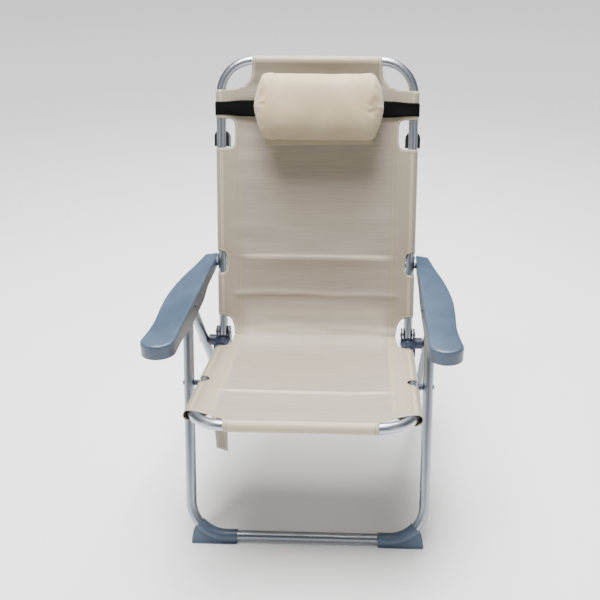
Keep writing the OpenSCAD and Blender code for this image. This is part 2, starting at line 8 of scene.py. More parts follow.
import bmesh
import bpy
import numpy as np
from mathutils import Vector, geometry, noise
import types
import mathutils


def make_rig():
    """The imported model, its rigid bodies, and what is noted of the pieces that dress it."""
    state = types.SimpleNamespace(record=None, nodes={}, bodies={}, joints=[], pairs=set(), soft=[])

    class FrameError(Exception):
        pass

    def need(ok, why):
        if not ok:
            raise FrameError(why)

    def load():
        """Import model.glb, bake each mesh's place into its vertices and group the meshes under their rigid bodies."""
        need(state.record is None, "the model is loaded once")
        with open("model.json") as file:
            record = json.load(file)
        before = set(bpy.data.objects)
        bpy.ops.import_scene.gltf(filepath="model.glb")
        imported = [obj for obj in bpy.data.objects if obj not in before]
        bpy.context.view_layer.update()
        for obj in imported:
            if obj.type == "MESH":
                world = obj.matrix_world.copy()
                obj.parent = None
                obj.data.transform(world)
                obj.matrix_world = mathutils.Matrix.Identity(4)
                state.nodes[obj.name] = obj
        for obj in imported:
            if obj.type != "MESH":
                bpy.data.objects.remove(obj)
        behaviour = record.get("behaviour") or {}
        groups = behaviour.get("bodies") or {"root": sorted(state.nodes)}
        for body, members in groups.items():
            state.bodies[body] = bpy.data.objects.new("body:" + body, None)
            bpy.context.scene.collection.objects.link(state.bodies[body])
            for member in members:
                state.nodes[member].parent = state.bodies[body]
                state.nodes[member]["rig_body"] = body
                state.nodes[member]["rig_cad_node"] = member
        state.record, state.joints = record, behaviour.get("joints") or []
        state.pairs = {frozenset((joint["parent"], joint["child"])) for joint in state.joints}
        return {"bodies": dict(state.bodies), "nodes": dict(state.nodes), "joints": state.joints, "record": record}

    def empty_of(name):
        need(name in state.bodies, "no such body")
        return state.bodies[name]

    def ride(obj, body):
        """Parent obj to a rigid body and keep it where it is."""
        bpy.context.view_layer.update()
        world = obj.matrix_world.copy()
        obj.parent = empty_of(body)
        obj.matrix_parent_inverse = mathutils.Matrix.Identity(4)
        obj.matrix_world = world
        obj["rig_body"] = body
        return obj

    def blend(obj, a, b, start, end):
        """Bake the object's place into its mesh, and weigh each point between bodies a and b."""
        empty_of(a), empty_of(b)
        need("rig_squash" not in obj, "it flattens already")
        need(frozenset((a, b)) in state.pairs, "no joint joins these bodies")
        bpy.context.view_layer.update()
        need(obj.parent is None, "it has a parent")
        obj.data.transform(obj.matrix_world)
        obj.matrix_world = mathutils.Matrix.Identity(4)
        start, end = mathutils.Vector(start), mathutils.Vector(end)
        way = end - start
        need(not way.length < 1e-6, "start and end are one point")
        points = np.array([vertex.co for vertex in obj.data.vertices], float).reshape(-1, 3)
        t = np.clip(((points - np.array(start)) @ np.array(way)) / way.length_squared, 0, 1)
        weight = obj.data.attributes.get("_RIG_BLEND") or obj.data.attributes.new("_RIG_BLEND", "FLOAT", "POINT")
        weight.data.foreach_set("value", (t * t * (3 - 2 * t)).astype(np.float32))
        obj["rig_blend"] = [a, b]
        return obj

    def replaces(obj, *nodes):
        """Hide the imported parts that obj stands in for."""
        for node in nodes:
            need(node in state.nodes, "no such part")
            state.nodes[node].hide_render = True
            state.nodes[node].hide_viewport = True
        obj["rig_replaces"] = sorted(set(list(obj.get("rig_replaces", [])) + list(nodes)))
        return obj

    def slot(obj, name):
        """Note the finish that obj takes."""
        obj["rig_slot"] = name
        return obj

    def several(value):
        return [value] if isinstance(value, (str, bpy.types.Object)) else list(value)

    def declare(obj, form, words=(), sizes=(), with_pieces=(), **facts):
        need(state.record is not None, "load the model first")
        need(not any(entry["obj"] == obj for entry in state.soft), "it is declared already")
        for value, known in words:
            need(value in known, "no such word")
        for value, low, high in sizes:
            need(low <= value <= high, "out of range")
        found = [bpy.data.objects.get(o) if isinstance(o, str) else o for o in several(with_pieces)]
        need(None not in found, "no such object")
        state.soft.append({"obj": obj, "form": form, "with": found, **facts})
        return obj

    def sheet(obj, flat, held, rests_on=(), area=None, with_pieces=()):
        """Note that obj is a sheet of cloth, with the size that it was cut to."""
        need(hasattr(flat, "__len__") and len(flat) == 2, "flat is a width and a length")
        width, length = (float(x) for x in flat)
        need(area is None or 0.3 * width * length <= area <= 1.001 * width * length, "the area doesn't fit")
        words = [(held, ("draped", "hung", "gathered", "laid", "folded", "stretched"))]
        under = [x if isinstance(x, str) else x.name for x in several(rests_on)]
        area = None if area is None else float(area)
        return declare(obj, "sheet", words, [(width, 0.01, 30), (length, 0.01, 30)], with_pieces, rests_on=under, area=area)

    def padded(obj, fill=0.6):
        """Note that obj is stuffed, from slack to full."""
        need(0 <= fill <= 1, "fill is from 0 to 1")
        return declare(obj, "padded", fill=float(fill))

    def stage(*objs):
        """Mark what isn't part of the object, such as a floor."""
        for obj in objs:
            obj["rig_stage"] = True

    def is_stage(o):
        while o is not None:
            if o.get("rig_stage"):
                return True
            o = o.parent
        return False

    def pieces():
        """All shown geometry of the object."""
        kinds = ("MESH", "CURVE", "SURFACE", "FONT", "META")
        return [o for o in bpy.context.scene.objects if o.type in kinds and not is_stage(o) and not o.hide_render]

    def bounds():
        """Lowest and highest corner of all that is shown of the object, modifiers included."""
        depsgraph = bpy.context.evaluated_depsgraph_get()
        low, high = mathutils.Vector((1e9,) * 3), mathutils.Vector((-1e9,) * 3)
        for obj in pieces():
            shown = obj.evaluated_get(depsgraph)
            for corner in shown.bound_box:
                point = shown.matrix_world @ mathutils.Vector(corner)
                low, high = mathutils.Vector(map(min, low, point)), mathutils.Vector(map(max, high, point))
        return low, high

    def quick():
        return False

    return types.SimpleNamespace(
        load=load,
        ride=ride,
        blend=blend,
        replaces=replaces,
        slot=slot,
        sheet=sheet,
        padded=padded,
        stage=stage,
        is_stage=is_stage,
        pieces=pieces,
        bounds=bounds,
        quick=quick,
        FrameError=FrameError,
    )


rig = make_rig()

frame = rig.load()
cad_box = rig.bounds()
nodes = frame["nodes"]
joints = {j["name"]: j for j in frame["joints"]}

# ---- the chair's frames of reference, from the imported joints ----
MM = 0.001
HINGE = Vector(joints["back_fold"]["pos_m"]) * 1000
HIP = Vector(joints["rear_leg_fold"]["pos_m"]) * 1000
LEG = Vector(joints["front_leg_fold"]["pos_m"]) * 1000
ARM = Vector(joints["arm_fold_left"]["pos_m"]) * 1000
RECLINE = math.atan2(ARM.y - HINGE.y, ARM.z - HINGE.z)
TILT = math.atan2(LEG.z - HIP.z, HIP.y - LEG.y)
ARM_TILT = math.atan2(LEG.z - HINGE.z, HINGE.y - LEG.y)
SIDE_X = 221.0
BEND_R = 76.0
BACK_LEN, BACK_BAR = 626.0, 182.0
SEAT_LEN, SEAT_BAR = 434.0, 300.0
SIDES = ((-1, "left"), (1, "right"))
CLOTH_R = 11.35                   # inner radius of a sleeve round its tube
CLOTH_T = 0.9                     # thickness of the canvas as it is drawn


def smooth(t):
    """A soft step from 0 to 1 while t goes from 0 to 1."""
    t = min(1.0, max(0.0, t))
    return t * t * (3 - 2 * t)


def on_back(x, u, n):
    """Point u up the backrest from its hinge and n in front of its tubes' centre plane."""
    c, s = math.cos(RECLINE), math.sin(RECLINE)
    return Vector((x, HINGE.y - n * c + u * s, HINGE.z + n * s + u * c)) * MM


def on_seat(x, s, n):
    """Point s ahead of the hip and n above the seat tubes' centre plane."""
    c, k = math.cos(TILT), math.sin(TILT)
    return Vector((x, HIP.y - s * c + n * k, HIP.z + s * k + n * c)) * MM


def on_arm(x, s, n):
    """Point s ahead of the armrest's rear pivot and n above its pivot line."""
    c, k = math.cos(ARM_TILT), math.sin(ARM_TILT)
    return Vector((x, ARM.y - s * c + n * k, ARM.z + s * k + n * c)) * MM


# ---- camera ----
CAMERA_AT = Vector((114.0, -1502.8, 1252.9))
CAMERA_LOOK = Vector((-0.0315, 0.8741, -0.4847))
CAMERA_LENS = 46.6
CAMERA_SHIFT = (-0.0645, 0.0332)
cam = bpy.data.objects.new("camera", bpy.data.cameras.new("camera"))
bpy.context.scene.collection.objects.link(cam)
bpy.context.scene.camera = cam
cam.location = CAMERA_AT * MM
cam.rotation_euler = CAMERA_LOOK.to_track_quat("-Z", "Y").to_euler()
cam.data.lens = CAMERA_LENS
cam.data.shift_x, cam.data.shift_y = CAMERA_SHIFT
cam.data.clip_start, cam.data.clip_end = 0.05, 60.0


# ---- materials ----
class Material:
    """A material's nodes, with short calls for the ones used here."""

    def __init__(self, name):
        self.mat = bpy.data.materials.new(name)
        self.mat.use_nodes = True
        self.tree = self.mat.node_tree
        self.tree.nodes.clear()
        self.bsdf = self.node("ShaderNodeBsdfPrincipled")
        out = self.node("ShaderNodeOutputMaterial")
        self.tree.links.new(self.bsdf.outputs[0], out.inputs[0])

    def node(self, kind, **props):
        made = self.tree.nodes.new(kind)
        for key, value in props.items():
            setattr(made, key, value)
        return made

    def feed(self, socket, value):
        if isinstance(value, bpy.types.NodeSocket):
            self.tree.links.new(value, socket)
        elif value is not None:
            socket.default_value = value

    def set(self, **values):
        """Inputs of the shader by name, with _ for a space."""
        for key, value in values.items():
            self.feed(self.bsdf.inputs[key.replace("_", " ")], value)
        return self

    def math(self, op, a, b=None, c=None, clamp=False):
        made = self.node("ShaderNodeMath", operation=op, use_clamp=clamp)
        for socket, value in zip(made.inputs, (a, b, c)):
            self.feed(socket, value)
        return made.outputs[0]

    def ramp(self, value, lo, hi, to_lo=0.0, to_hi=1.0):
        made = self.node("ShaderNodeMapRange", interpolation_type="SMOOTHSTEP")
        for socket, v in zip(made.inputs, (value, lo, hi, to_lo, to_hi)):
            self.feed(socket, v)
        return made.outputs[0]

    def mix(self, factor, a, b):
        made = self.node("ShaderNodeMix", data_type="RGBA")
        self.feed(made.inputs["Factor"], factor)
        self.feed(made.inputs[6], a)
        self.feed(made.inputs[7], b)
        return made.outputs[2]

    def scale(self, vector, factors):
        made = self.node("ShaderNodeVectorMath", operation="MULTIPLY")
        self.feed(made.inputs[0], vector)
        made.inputs[1].default_value = factors
        return made.outputs[0]

    def noise(self, vector, scale, detail=3.0):
        made = self.node("ShaderNodeTexNoise")
        self.feed(made.inputs["Vector"], vector)
        made.inputs["Scale"].default_value = scale
        made.inputs["Detail"].default_value = detail
        return made.outputs["Fac"]

    def bump(self, height, distance, strength=1.0, under=None):
        made = self.node("ShaderNodeBump")
        made.inputs["Distance"].default_value = distance
        made.inputs["Strength"].default_value = strength
        self.feed(made.inputs["Height"], height)
        self.feed(made.inputs["Normal"], under)
        return made.outputs[0]

    def place(self):
        return self.node("ShaderNodeTexCoord").outputs["Object"]

    def attribute(self, name):
        return self.node("ShaderNodeAttribute", attribute_name=name).outputs["Vector"]

    def split(self, vector):
        made = self.node("ShaderNodeSeparateXYZ")
        self.feed(made.inputs[0], vector)
        return made.outputs


def rgb(r, g, b):
    """An sRGB colour, 0 to 255, as the linear RGBA that a shader takes."""
    return tuple((v / 255 / 12.92) if v < 11 else ((v / 255 + 0.055) / 1.055) ** 2.4
                 for v in (r, g, b)) + (1.0,)


def tint(colour, factor):
    """A colour made lighter or darker by a factor."""
    return tuple(min(1, v * factor) for v in colour[:3]) + (1,)


def plastic(name, base, dark, rough=0.42, grain=900.0, coat=0.0, ribs=None):
    """Moulded plastic with broad patches, a fine grain and pale scuffs. ribs is the pitch of ribs
    across it, in metres."""
    m = Material(name)
    place = m.place()
    broad = m.noise(place, 9.0, 4.0)
    fine = m.noise(place, grain, 2.0)
    scuff = m.ramp(m.noise(m.scale(place, (1.0, 0.25, 1.0)), 70.0, 6.0), 0.60, 0.78)
    tone = m.mix(m.ramp(broad, 0.3, 0.7), dark, base)
    scuffed = tuple(min(1, v * 1.7 + 0.03) for v in base[:3]) + (1,)
    worn = m.mix(m.math("MULTIPLY", scuff, 0.22), tone, scuffed)
    under = m.bump(broad, 0.0008, 0.15)
    if ribs:
        wave = m.math("SINE", m.math("MULTIPLY", m.split(place)[0], 2 * math.pi / ribs))
        under = m.bump(m.ramp(wave, -0.4, 0.4), 0.0016, 0.9, under)
    m.set(Base_Color=worn, Roughness=m.ramp(broad, 0.2, 0.8, rough - 0.06, rough + 0.08),
          Normal=m.bump(fine, 0.00012, 0.35, under))
    m.bsdf.inputs["Coat Weight"].default_value = coat
    m.bsdf.inputs["Coat Roughness"].default_value = 0.25
    return m.mat


def metal(name, base, dark, rough, streak):
    """Bare metal whose gloss has a fine drawn grain, stretched by streak along each axis."""
    m = Material(name)
    place = m.place()
    grain = m.noise(m.scale(place, streak), 260.0, 2.0)
    cloud = m.noise(place, 11.0, 3.0)
    tone = m.mix(m.ramp(cloud, 0.3, 0.75), dark, base)
    gloss = m.ramp(grain, 0.2, 0.8, rough - 0.015, rough + 0.015)
    m.set(Base_Color=tone, Metallic=1.0, Roughness=gloss)
    return m.mat


def weave(m, across, along, pitch):
    """Height of a plain weave whose threads are pitch apart, from two coordinates in the same unit."""
    turn = 2 * math.pi / pitch
    over = m.math("SINE", m.math("MULTIPLY", across, turn))
    under = m.math("SINE", m.math("MULTIPLY", along, turn))
    return m.math("MULTIPLY", over, under)


def line(m, value, at, half):
    """1 within half of at, fading to 0 just outside."""
    gap = m.math("ABSOLUTE", m.math("SUBTRACT", value, at))
    return m.ramp(gap, half, half * 1.6, 1.0, 0.0)


def sling_material(name, centre, band, seams, bar, far, flap_painted_light):
    """Canvas from the sheet's own coordinates: across, along and distance in from the hem, in mm. bar and far are
    where it crosses its crossbar and turns round its far tube. flap_painted_light is how bright it is painted just
    short of the far tube, where a flap doubles it: painted shade on the backrest below its top sleeve, and a slight
    painted highlight on the seat before its front sleeve."""
    m = Material(name)
    cloth = m.attribute("cloth")
    across, along, hem = m.split(cloth)
    side = m.math("ABSOLUTE", across)
    slub = m.noise(m.scale(cloth, (0.010, 0.22, 0.0)), 1.0, 5.0)
    warp = m.noise(m.scale(cloth, (0.20, 0.008, 0.0)), 1.0, 4.0)
    cloud = m.noise(m.scale(cloth, (0.010, 0.012, 0.0)), 1.0, 4.0)
    turned = m.ramp(hem, 8.5, 7.5)
    doubled = m.math("MAXIMUM", m.ramp(side, seams[0] - 4, seams[0]), turned)
    deep = tint(centre, 0.92)
    tone = m.mix(m.ramp(slub, 0.30, 0.72), deep, tint(centre, 1.05))
    tone = m.mix(m.math("MULTIPLY", doubled, 0.75), tone, band)
    strip = line(m, side, (seams[0] + seams[1]) / 2, 4.0)
    tone = m.mix(m.math("MULTIPLY", strip, 0.45), tone, tint(band, 1.12))
    tone = m.mix(m.math("MULTIPLY", m.ramp(cloud, 0.45, 0.75), 0.22), tone, deep)
    # Painted highlight: a lighter line painted along the cloth where it runs over its crossbar.
    from_bar = m.math("ABSOLUTE", m.math("SUBTRACT", along, bar))
    patchy = m.math("MULTIPLY", m.ramp(side, 150.0, 190.0, 1.0, 0.0), m.ramp(cloud, 0.25, 0.6, 0.35, 0.8))
    bar_highlight = m.math("MULTIPLY", m.ramp(from_bar, 2.5, 8.5, 1.0, 0.0), patchy)
    tone = m.mix(bar_highlight, tone, tint(centre, 1.9))
    # Painted highlight: the slack cloth where backrest and seat meet is painted lighter across its middle.
    lap_highlight = m.math("MULTIPLY", m.ramp(along, 30.0, 95.0, 1.0, 0.0), m.ramp(side, 150.0, 180.0, 1.0, 0.0))
    tone = m.mix(m.math("MULTIPLY", lap_highlight, 0.8), tone, tint(centre, 1.35))
    # Just short of the far tube the cloth takes a painted tone: painted shade below the backrest's top sleeve, a
    # slight painted highlight before the seat's front sleeve.
    flap = m.math("MULTIPLY", m.ramp(along, far - 60, far - 44), m.ramp(along, far - 7, far - 2, 1.0, 0.0))
    tone = m.mix(m.math("MULTIPLY", flap, 0.9), tone, tint(centre, flap_painted_light))
    # Painted highlight: a lighter line along the side tubes' crest and over the far sleeve.
    crown = m.math("MAXIMUM", line(m, side, SIDE_X - 1.5, 2.6), m.ramp(along, far - 5, far + 4))
    tone = m.mix(m.math("MULTIPLY", crown, 0.55), tone, tint(band, 1.6))
    tone = m.mix(m.math("MULTIPLY", turned, 0.6), tone, tint(centre, 1.30))
    rows = m.math("MAXIMUM", line(m, hem, 7.6, 0.9), line(m, hem, 2.2, 0.35))
    for at in seams:
        rows = m.math("MAXIMUM", rows, line(m, side, at, 0.5))
    dash = m.ramp(m.math("SINE", m.math("MULTIPLY", m.math("ADD", across, along), 2.2)), -0.3, 0.1)
    stitch = m.math("MULTIPLY", rows, dash)
    tone = m.mix(m.math("MULTIPLY", rows, 0.55), tone, tint(band, 0.50))
    tone = m.mix(m.math("MULTIPLY", stitch, 0.55), tone, tint(band, 1.25))
    threads = weave(m, across, along, 1.1)
    height = m.math("ADD", m.math("MULTIPLY", threads, 0.10),
                    m.math("ADD", m.math("MULTIPLY", slub, 0.7), m.math("MULTIPLY", warp, 0.3)))
    height = m.math("SUBTRACT", height, m.math("MULTIPLY", rows, 0.9))
    height = m.math("ADD", height, m.math("MULTIPLY", doubled, 0.8))
    gloss = m.ramp(side, 200.0, 212.0, 0.58, 0.44)
    m.set(Base_Color=tone, Roughness=gloss, Normal=m.bump(height, 0.0006, 0.45))
    m.bsdf.inputs["Sheen Weight"].default_value = 0.10
    m.bsdf.inputs["Sheen Roughness"].default_value = 0.5
    m.bsdf.inputs["Specular IOR Level"].default_value = 0.42
    return m.mat


def fabric(name, base, deep, rough, pitch, sheen=0.2, shine=0.25, painted_shade_heights=None):
    """Cloth whose weave follows the object's own place, for pieces with no sheet coordinates. painted_shade_heights is
    the heights, in metres, between which it goes from a deep colour to its own, painted shade that darkens it below
    them."""
    m = Material(name)
    place = m.place()
    x, y, z = m.split(place)
    cloud = m.noise(place, 22.0, 4.0)
    slub = m.noise(m.scale(place, (12.0, 160.0, 160.0)), 1.0, 4.0)
    tone = m.mix(m.ramp(cloud, 0.3, 0.72), deep, base)
    tone = m.mix(m.math("MULTIPLY", m.ramp(slub, 0.4, 0.7), 0.25), tone, deep)
    if painted_shade_heights:
        # Painted shade: the cloth is painted darker below the lower height, towards its underside.
        tone = m.mix(m.ramp(z, painted_shade_heights[0], painted_shade_heights[1], 0.85, 0.0), tone, tint(deep, 0.48))
    threads = weave(m, x, m.math("ADD", y, z), pitch)
    height = m.math("ADD", m.math("MULTIPLY", threads, 0.25), m.math("MULTIPLY", slub, 0.6))
    m.set(Base_Color=tone, Roughness=rough, Normal=m.bump(height, 0.0004, 0.5))
    m.bsdf.inputs["Sheen Weight"].default_value = sheen
    m.bsdf.inputs["Sheen Roughness"].default_value = 0.5
    m.bsdf.inputs["Specular IOR Level"].default_value = shine
    return m.mat


ALUMINIUM = metal("satin_aluminium", (0.47, 0.51, 0.56, 1), (0.40, 0.44, 0.50, 1), 0.34, (0.2, 0.06, 0.06))
# The leg frames take a darker copy of the frame's aluminium: painted shade for the dark surroundings they reflect.
SHADED_LEG_ALUMINIUM = metal("leg_aluminium_shaded", (0.32, 0.35, 0.395, 1), (0.265, 0.295, 0.335, 1), 0.34,
                      (0.2, 0.06, 0.06))
STEEL = metal("zinc_steel", (0.50, 0.51, 0.53, 1), (0.34, 0.35, 0.37, 1), 0.32, (0.3, 1.0, 1.0))
ARM_BLUE = plastic("armrest_plastic", rgb(66, 82, 101), rgb(57, 72, 90), 0.36, 1100.0, 0.12)
SHOE_BLUE = plastic("shoe_plastic", rgb(85, 100, 120), rgb(73, 88, 108), 0.42)
DARK = plastic("bracket_plastic", rgb(54, 61, 82), rgb(40, 46, 64), 0.40)
BLACK = plastic("black_plastic", rgb(24, 25, 28), rgb(14, 15, 17), 0.45)
# The backrest's canvas is the same cloth as the seat's, but with darker side bands and a slightly darker centre:
# painted shade on the backrest.
SLING = sling_material("sling_canvas", rgb(148, 138, 122), rgb(145, 135, 116), (174.0, 182.0),
                       BACK_BAR, BACK_LEN, 0.62)
SEAT_SLING = sling_material("seat_canvas", rgb(153, 142, 127), rgb(167, 155, 130), (174.0, 182.0),
                            SEAT_BAR, SEAT_LEN, 1.06)
# The pillow is painted darker towards its underside: painted shade.
PILLOW = fabric("pillow_canvas", rgb(198, 180, 148), rgb(184, 166, 134), 0.70, 0.0012,
                painted_shade_heights=(0.745, 0.850))
ELASTIC = fabric("elastic_webbing", rgb(9, 9, 10), rgb(4, 4, 5), 0.85, 0.0016, 0.0, 0.08)
RIBBED = plastic("ribbed_plastic", rgb(24, 25, 28), rgb(14, 15, 17), 0.45, ribs=0.0046)

SLOT_LOOK = {"tube": ALUMINIUM, "pin": STEEL, "dark_plastic": DARK, "armrest": ARM_BLUE,
             "shoe": SHOE_BLUE, "black_plastic": BLACK, "canvas": SLING, "pillow": PILLOW,
             "elastic": ELASTIC}
slot_of = {s["node"]: s["material_slot"] for s in frame["record"]["subparts"]}
for name, cad in nodes.items():
    cad.data.materials.clear()
    look = SLOT_LOOK[slot_of[name]]
    if name.startswith("tube_clip"):
        look = RIBBED
    # The leg frames get the darker copy of the aluminium, painted shade.
    elif name.endswith("leg_frame"):
        look = SHADED_LEG_ALUMINIUM
    elif name == "front_leg_bolts":
        look = ARM_BLUE
    cad.data.materials.append(look)


# ---- making pieces ----
def put(name, points, faces, look, slot, body=None):
    """A mesh piece from points in metres, with its material, its slot and the body it rides on."""
    mesh = bpy.data.meshes.new(name)
    mesh.from_pydata([tuple(p) for p in points], [], faces)
    mesh.validate()
    mesh.materials.append(look)
    mesh.polygons.foreach_set("use_smooth", [True] * len(mesh.polygons))
    made = bpy.data.objects.new(name, mesh)
    bpy.context.scene.collection.objects.link(made)
    if slot:
        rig.slot(made, slot)
    if body:
        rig.ride(made, body)
    return made


def thicken(piece, thickness, offset=1.0):
    """Gives a sheet its thickness: all on its outer face, or about its middle for an offset of 0."""
    made = piece.modifiers.new("thickness", "SOLIDIFY")
    made.thickness, made.offset = thickness, offset


def quad_band(low, high, count):
    """Quads between two rings of count points that start at the indices low and high."""
    return [(low + j, low + (j + 1) % count, high + (j + 1) % count, high + j) for j in range(count)]


def grid_faces(rows, columns):
    """Quads of a grid whose points are listed row by row."""
    return [(columns * i + j, columns * i + j + 1, columns * (i + 1) + j + 1, columns * (i + 1) + j)
            for i in range(rows - 1) for j in range(columns - 1)]


# ---- the sling: a flat cut, meshed in its own plane and wrapped onto the tubes ----
WRAP = math.radians(207)          # how far a sleeve turns round its tube
ARC = WRAP * CLOTH_R
FLAP = 44.0                       # from the tube back to the seam
SEAM_IN = SIDE_X - 45.0           # where a sleeve is sewn to the panel
FLAP_END = SIDE_X + ARC + FLAP + 8
FOLD_OUT = SIDE_X + math.pi * CLOTH_R
PANEL_HALF = 206.0                # half the width in which a panel sags
BAR_HALF, BAR_R = 208.0, 9.0      # a crossbar's half length, and its radius with the cloth
BACK_FOLD, FOLD_DEPTH = 92.0, 2.4  # how far up the backrest it has a fold, and a fold's height
SLACK_HALF = 207.0                # half the width of the slack cloth between the two panels
SLACK_BACK, SLACK_SEAT = 45.0, 66.0  # where the slack starts up the backrest, and ahead of the hip


def wrapped(over, level, shift=0.0):
    """A sleeve in section: (out from the tube's centre line, height) at a length over past it.
    level is the height of the panel at the seam, which the sleeve's end is sewn under. shift is
    how far the tube has turned inward out of the sleeve's outer side."""
    half = math.pi * CLOTH_R
    if over <= 0:
        return over, CLOTH_R
    if over <= half:
        return CLOTH_R * math.sin(over / CLOTH_R), CLOTH_R * math.cos(over / CLOTH_R)
    if over <= half + shift:
        return half - over, -CLOTH_R
    turn = over - shift
    if turn <= ARC:
        return CLOTH_R * math.sin(turn / CLOTH_R) - shift, CLOTH_R * math.cos(turn / CLOTH_R)
    x0, n0 = CLOTH_R * math.sin(WRAP) - shift, CLOTH_R * math.cos(WRAP)
    t = min(1.0, (turn - ARC) / (FLAP - shift))
    rest = max(0.0, over - ARC - FLAP)
    end = level - CLOTH_T - 0.4
    return x0 + (-45.0 - x0) * t - rest, n0 + (end - n0) * t


def bend_shift(past):
    """How far a tube has come inward, past the start of its corner bend."""
    past = min(max(0.0, past), BEND_R - 1)
    return BEND_R - math.sqrt(BEND_R * BEND_R - past * past)


def curl(x, y, scale_x, scale_y, seed):
    return noise.noise(Vector((x / scale_x, y / scale_y, seed)))


# The backrest's cloth line in the seat's (s, n) plane: where u is 0, and its direction
BACK_LINE_S, BACK_LINE_N = 11.39, 24.9
BACK_LINE_DS, BACK_LINE_DN = -0.1908, 0.9816
CURVE_CORNER = (15.0, 11.0)


def curve_points():
    """The slack curve that joins the backrest to the seat, in the seat's (s, n) plane."""
    at_back = Vector((BACK_LINE_S + BACK_LINE_DS * SLACK_BACK, BACK_LINE_N + BACK_LINE_DN * SLACK_BACK))
    corner, at_seat = Vector(CURVE_CORNER), Vector((SLACK_SEAT, CLOTH_R))
    return [(at_back * (1 - t) ** 2 + corner * 2 * t * (1 - t) + at_seat * t * t)
            for t in (i / 160 for i in range(161))]


CURVE = curve_points()
LENGTHS = [0.0]
for p, q in zip(CURVE, CURVE[1:]):
    LENGTHS.append(LENGTHS[-1] + (q - p).length)
CURVE_LEN = LENGTHS[-1]
BACK_SHARE = CURVE_LEN * 0.52     # the backrest sheet's part of the curve


def on_curve(length):
    """Point and upward normal (s, n) of the slack curve, at a length from its backrest end."""
    i = min(len(CURVE) - 2, max(0, int(np.searchsorted(LENGTHS, length)) - 1))
    step = CURVE[i + 1] - CURVE[i]
    t = (length - LENGTHS[i]) / step.length
    d = step.normalized()
    return CURVE[i] + step * t, Vector((-d.y, d.x))


def bar_height(distance):
    """Height of the cloth over a crossbar, or far below it beside the bar."""
    return math.sqrt(BAR_R * BAR_R - distance * distance) if abs(distance) < BAR_R else -99.0


def crest(distance, depth):
    """How far a panel falls away close beside the bar it lies over."""
    return depth * (1 - math.exp(-abs(distance) / 8.0))


def sag(along, near, bar, far, depth_near, depth_far):
    """How deep a panel hangs on either side of its bar, nothing at the bar and at its two ends."""
    if along >= bar:
        share, depth = (along - bar) / (far - bar), depth_far
    else:
        share, depth = (bar - along) / (bar - near), depth_near
    return depth * math.sin(math.pi * min(1, share)) ** 0.8


def back_level(x, u):
    """Height of the back panel in front of the tubes' centre plane."""
    across = max(0.0, 1 - (abs(x) / PANEL_HALF) ** 2)
    edge = smooth((PANEL_HALF - abs(x)) / 30)
    drop = sag(u, 20.0, BACK_BAR, BACK_LEN, 9.0, 12.0)
    ends = smooth((BACK_LEN - u) / 25) * smooth((u - 10) / 50)
    n = CLOTH_R - across * (drop + 0.8 * ends + crest(u - BACK_BAR, 2.4) * ends)
    n += edge * ends * (1.2 * curl(x, u, 160, 26, 1.0) + 0.9 * curl(x, u, 60, 90, 4.0))
    from_fold = u - BACK_FOLD - 5 * curl(x, u, 90, 200, 7.0)
    n += edge * FOLD_DEPTH * math.exp(-(from_fold / 7) ** 2)
    if abs(x) < BAR_HALF:
        n = max(n, bar_height(u - BACK_BAR))
    return n


def seat_level(x, s):
    """Height of the seat panel above the tubes' centre plane."""
    across = max(0.0, 1 - (abs(x) / PANEL_HALF) ** 2)
    edge = smooth((PANEL_HALF - abs(x)) / 30)
    drop = sag(s, 60.0, SEAT_BAR, SEAT_LEN, 14.0, 5.5)
    ends = smooth((SEAT_LEN - s) / 20) * smooth((s - 60) / 30)
    n = CLOTH_R - across * (drop + 0.6 * ends + crest(s - SEAT_BAR, 4.4) * ends)
    n += edge * ends * (1.3 * curl(x, s, 150, 24, 2.0) + 0.8 * curl(x, s, 70, 80, 5.0))
    if abs(x) < BAR_HALF:
        n = max(n, bar_height(s - SEAT_BAR))
    return n


def sheet_point(place, level, bar_at, q, v):
    """A point of a panel: q across and v along the cut cloth, wrapped at its sides or its far end."""
    side, a = (1 if q >= 0 else -1), abs(q)
    if v > bar_at:
        over, n = wrapped(v - bar_at, level(q, bar_at - 45.0))
        return place(q, bar_at + over, n)
    if a > SIDE_X:
        over, n = wrapped(a - SIDE_X, level(SEAM_IN, v), bend_shift(v - bar_at + BEND_R))
        return place(side * (SIDE_X + over), v, n)
    return place(q, v, level(q, v))


def back_point(q, v):
    """A point of the backrest's sheet, from its place across and along the cut."""
    if v >= SLACK_BACK or abs(q) > SLACK_HALF:
        return sheet_point(on_back, back_level, BACK_LEN, q, v)
    return slack_point(q, SLACK_BACK - v, back_level(q, SLACK_BACK) - CLOTH_R)


def seat_point(q, v):
    """A point of the seat's sheet, which runs under the backrest's at the seam."""
    if v >= SLACK_SEAT or abs(q) > SLACK_HALF:
        return sheet_point(on_seat, seat_level, SEAT_LEN, q, v)
    under = -0.10 * smooth((SEAM_V + 5 - v) / 4)
    return slack_point(q, CURVE_LEN - (SLACK_SEAT - v), seat_level(q, SLACK_SEAT) - CLOTH_R, under)


def slack_point(q, length, end_drop, under=0.0):
    """A point on the slack curve, sagging most at the chair's middle and rippled near the crease."""
    p, normal = on_curve(length)
    t = length / CURVE_LEN
    swell = math.sin(math.pi * t)
    across = max(0.0, 1 - (abs(q) / 200.0) ** 2)
    lift = end_drop * (abs(2 * t - 1)) - 5.0 * swell * across
    lift += swell * (2.0 * curl(q, length, 120, 14, 3.0) + 1.2 * curl(q, length, 45, 30, 9.0))
    from_fold = length - 0.66 * CURVE_LEN - 9 * curl(q, 0, 130, 1, 15.0)
    lift += FOLD_DEPTH * math.exp(-(from_fold / 6.0) ** 2) * smooth((185 - abs(q)) / 70) * swell
    p = p + normal * (lift + under)
    return on_seat(q, p.x, p.y)


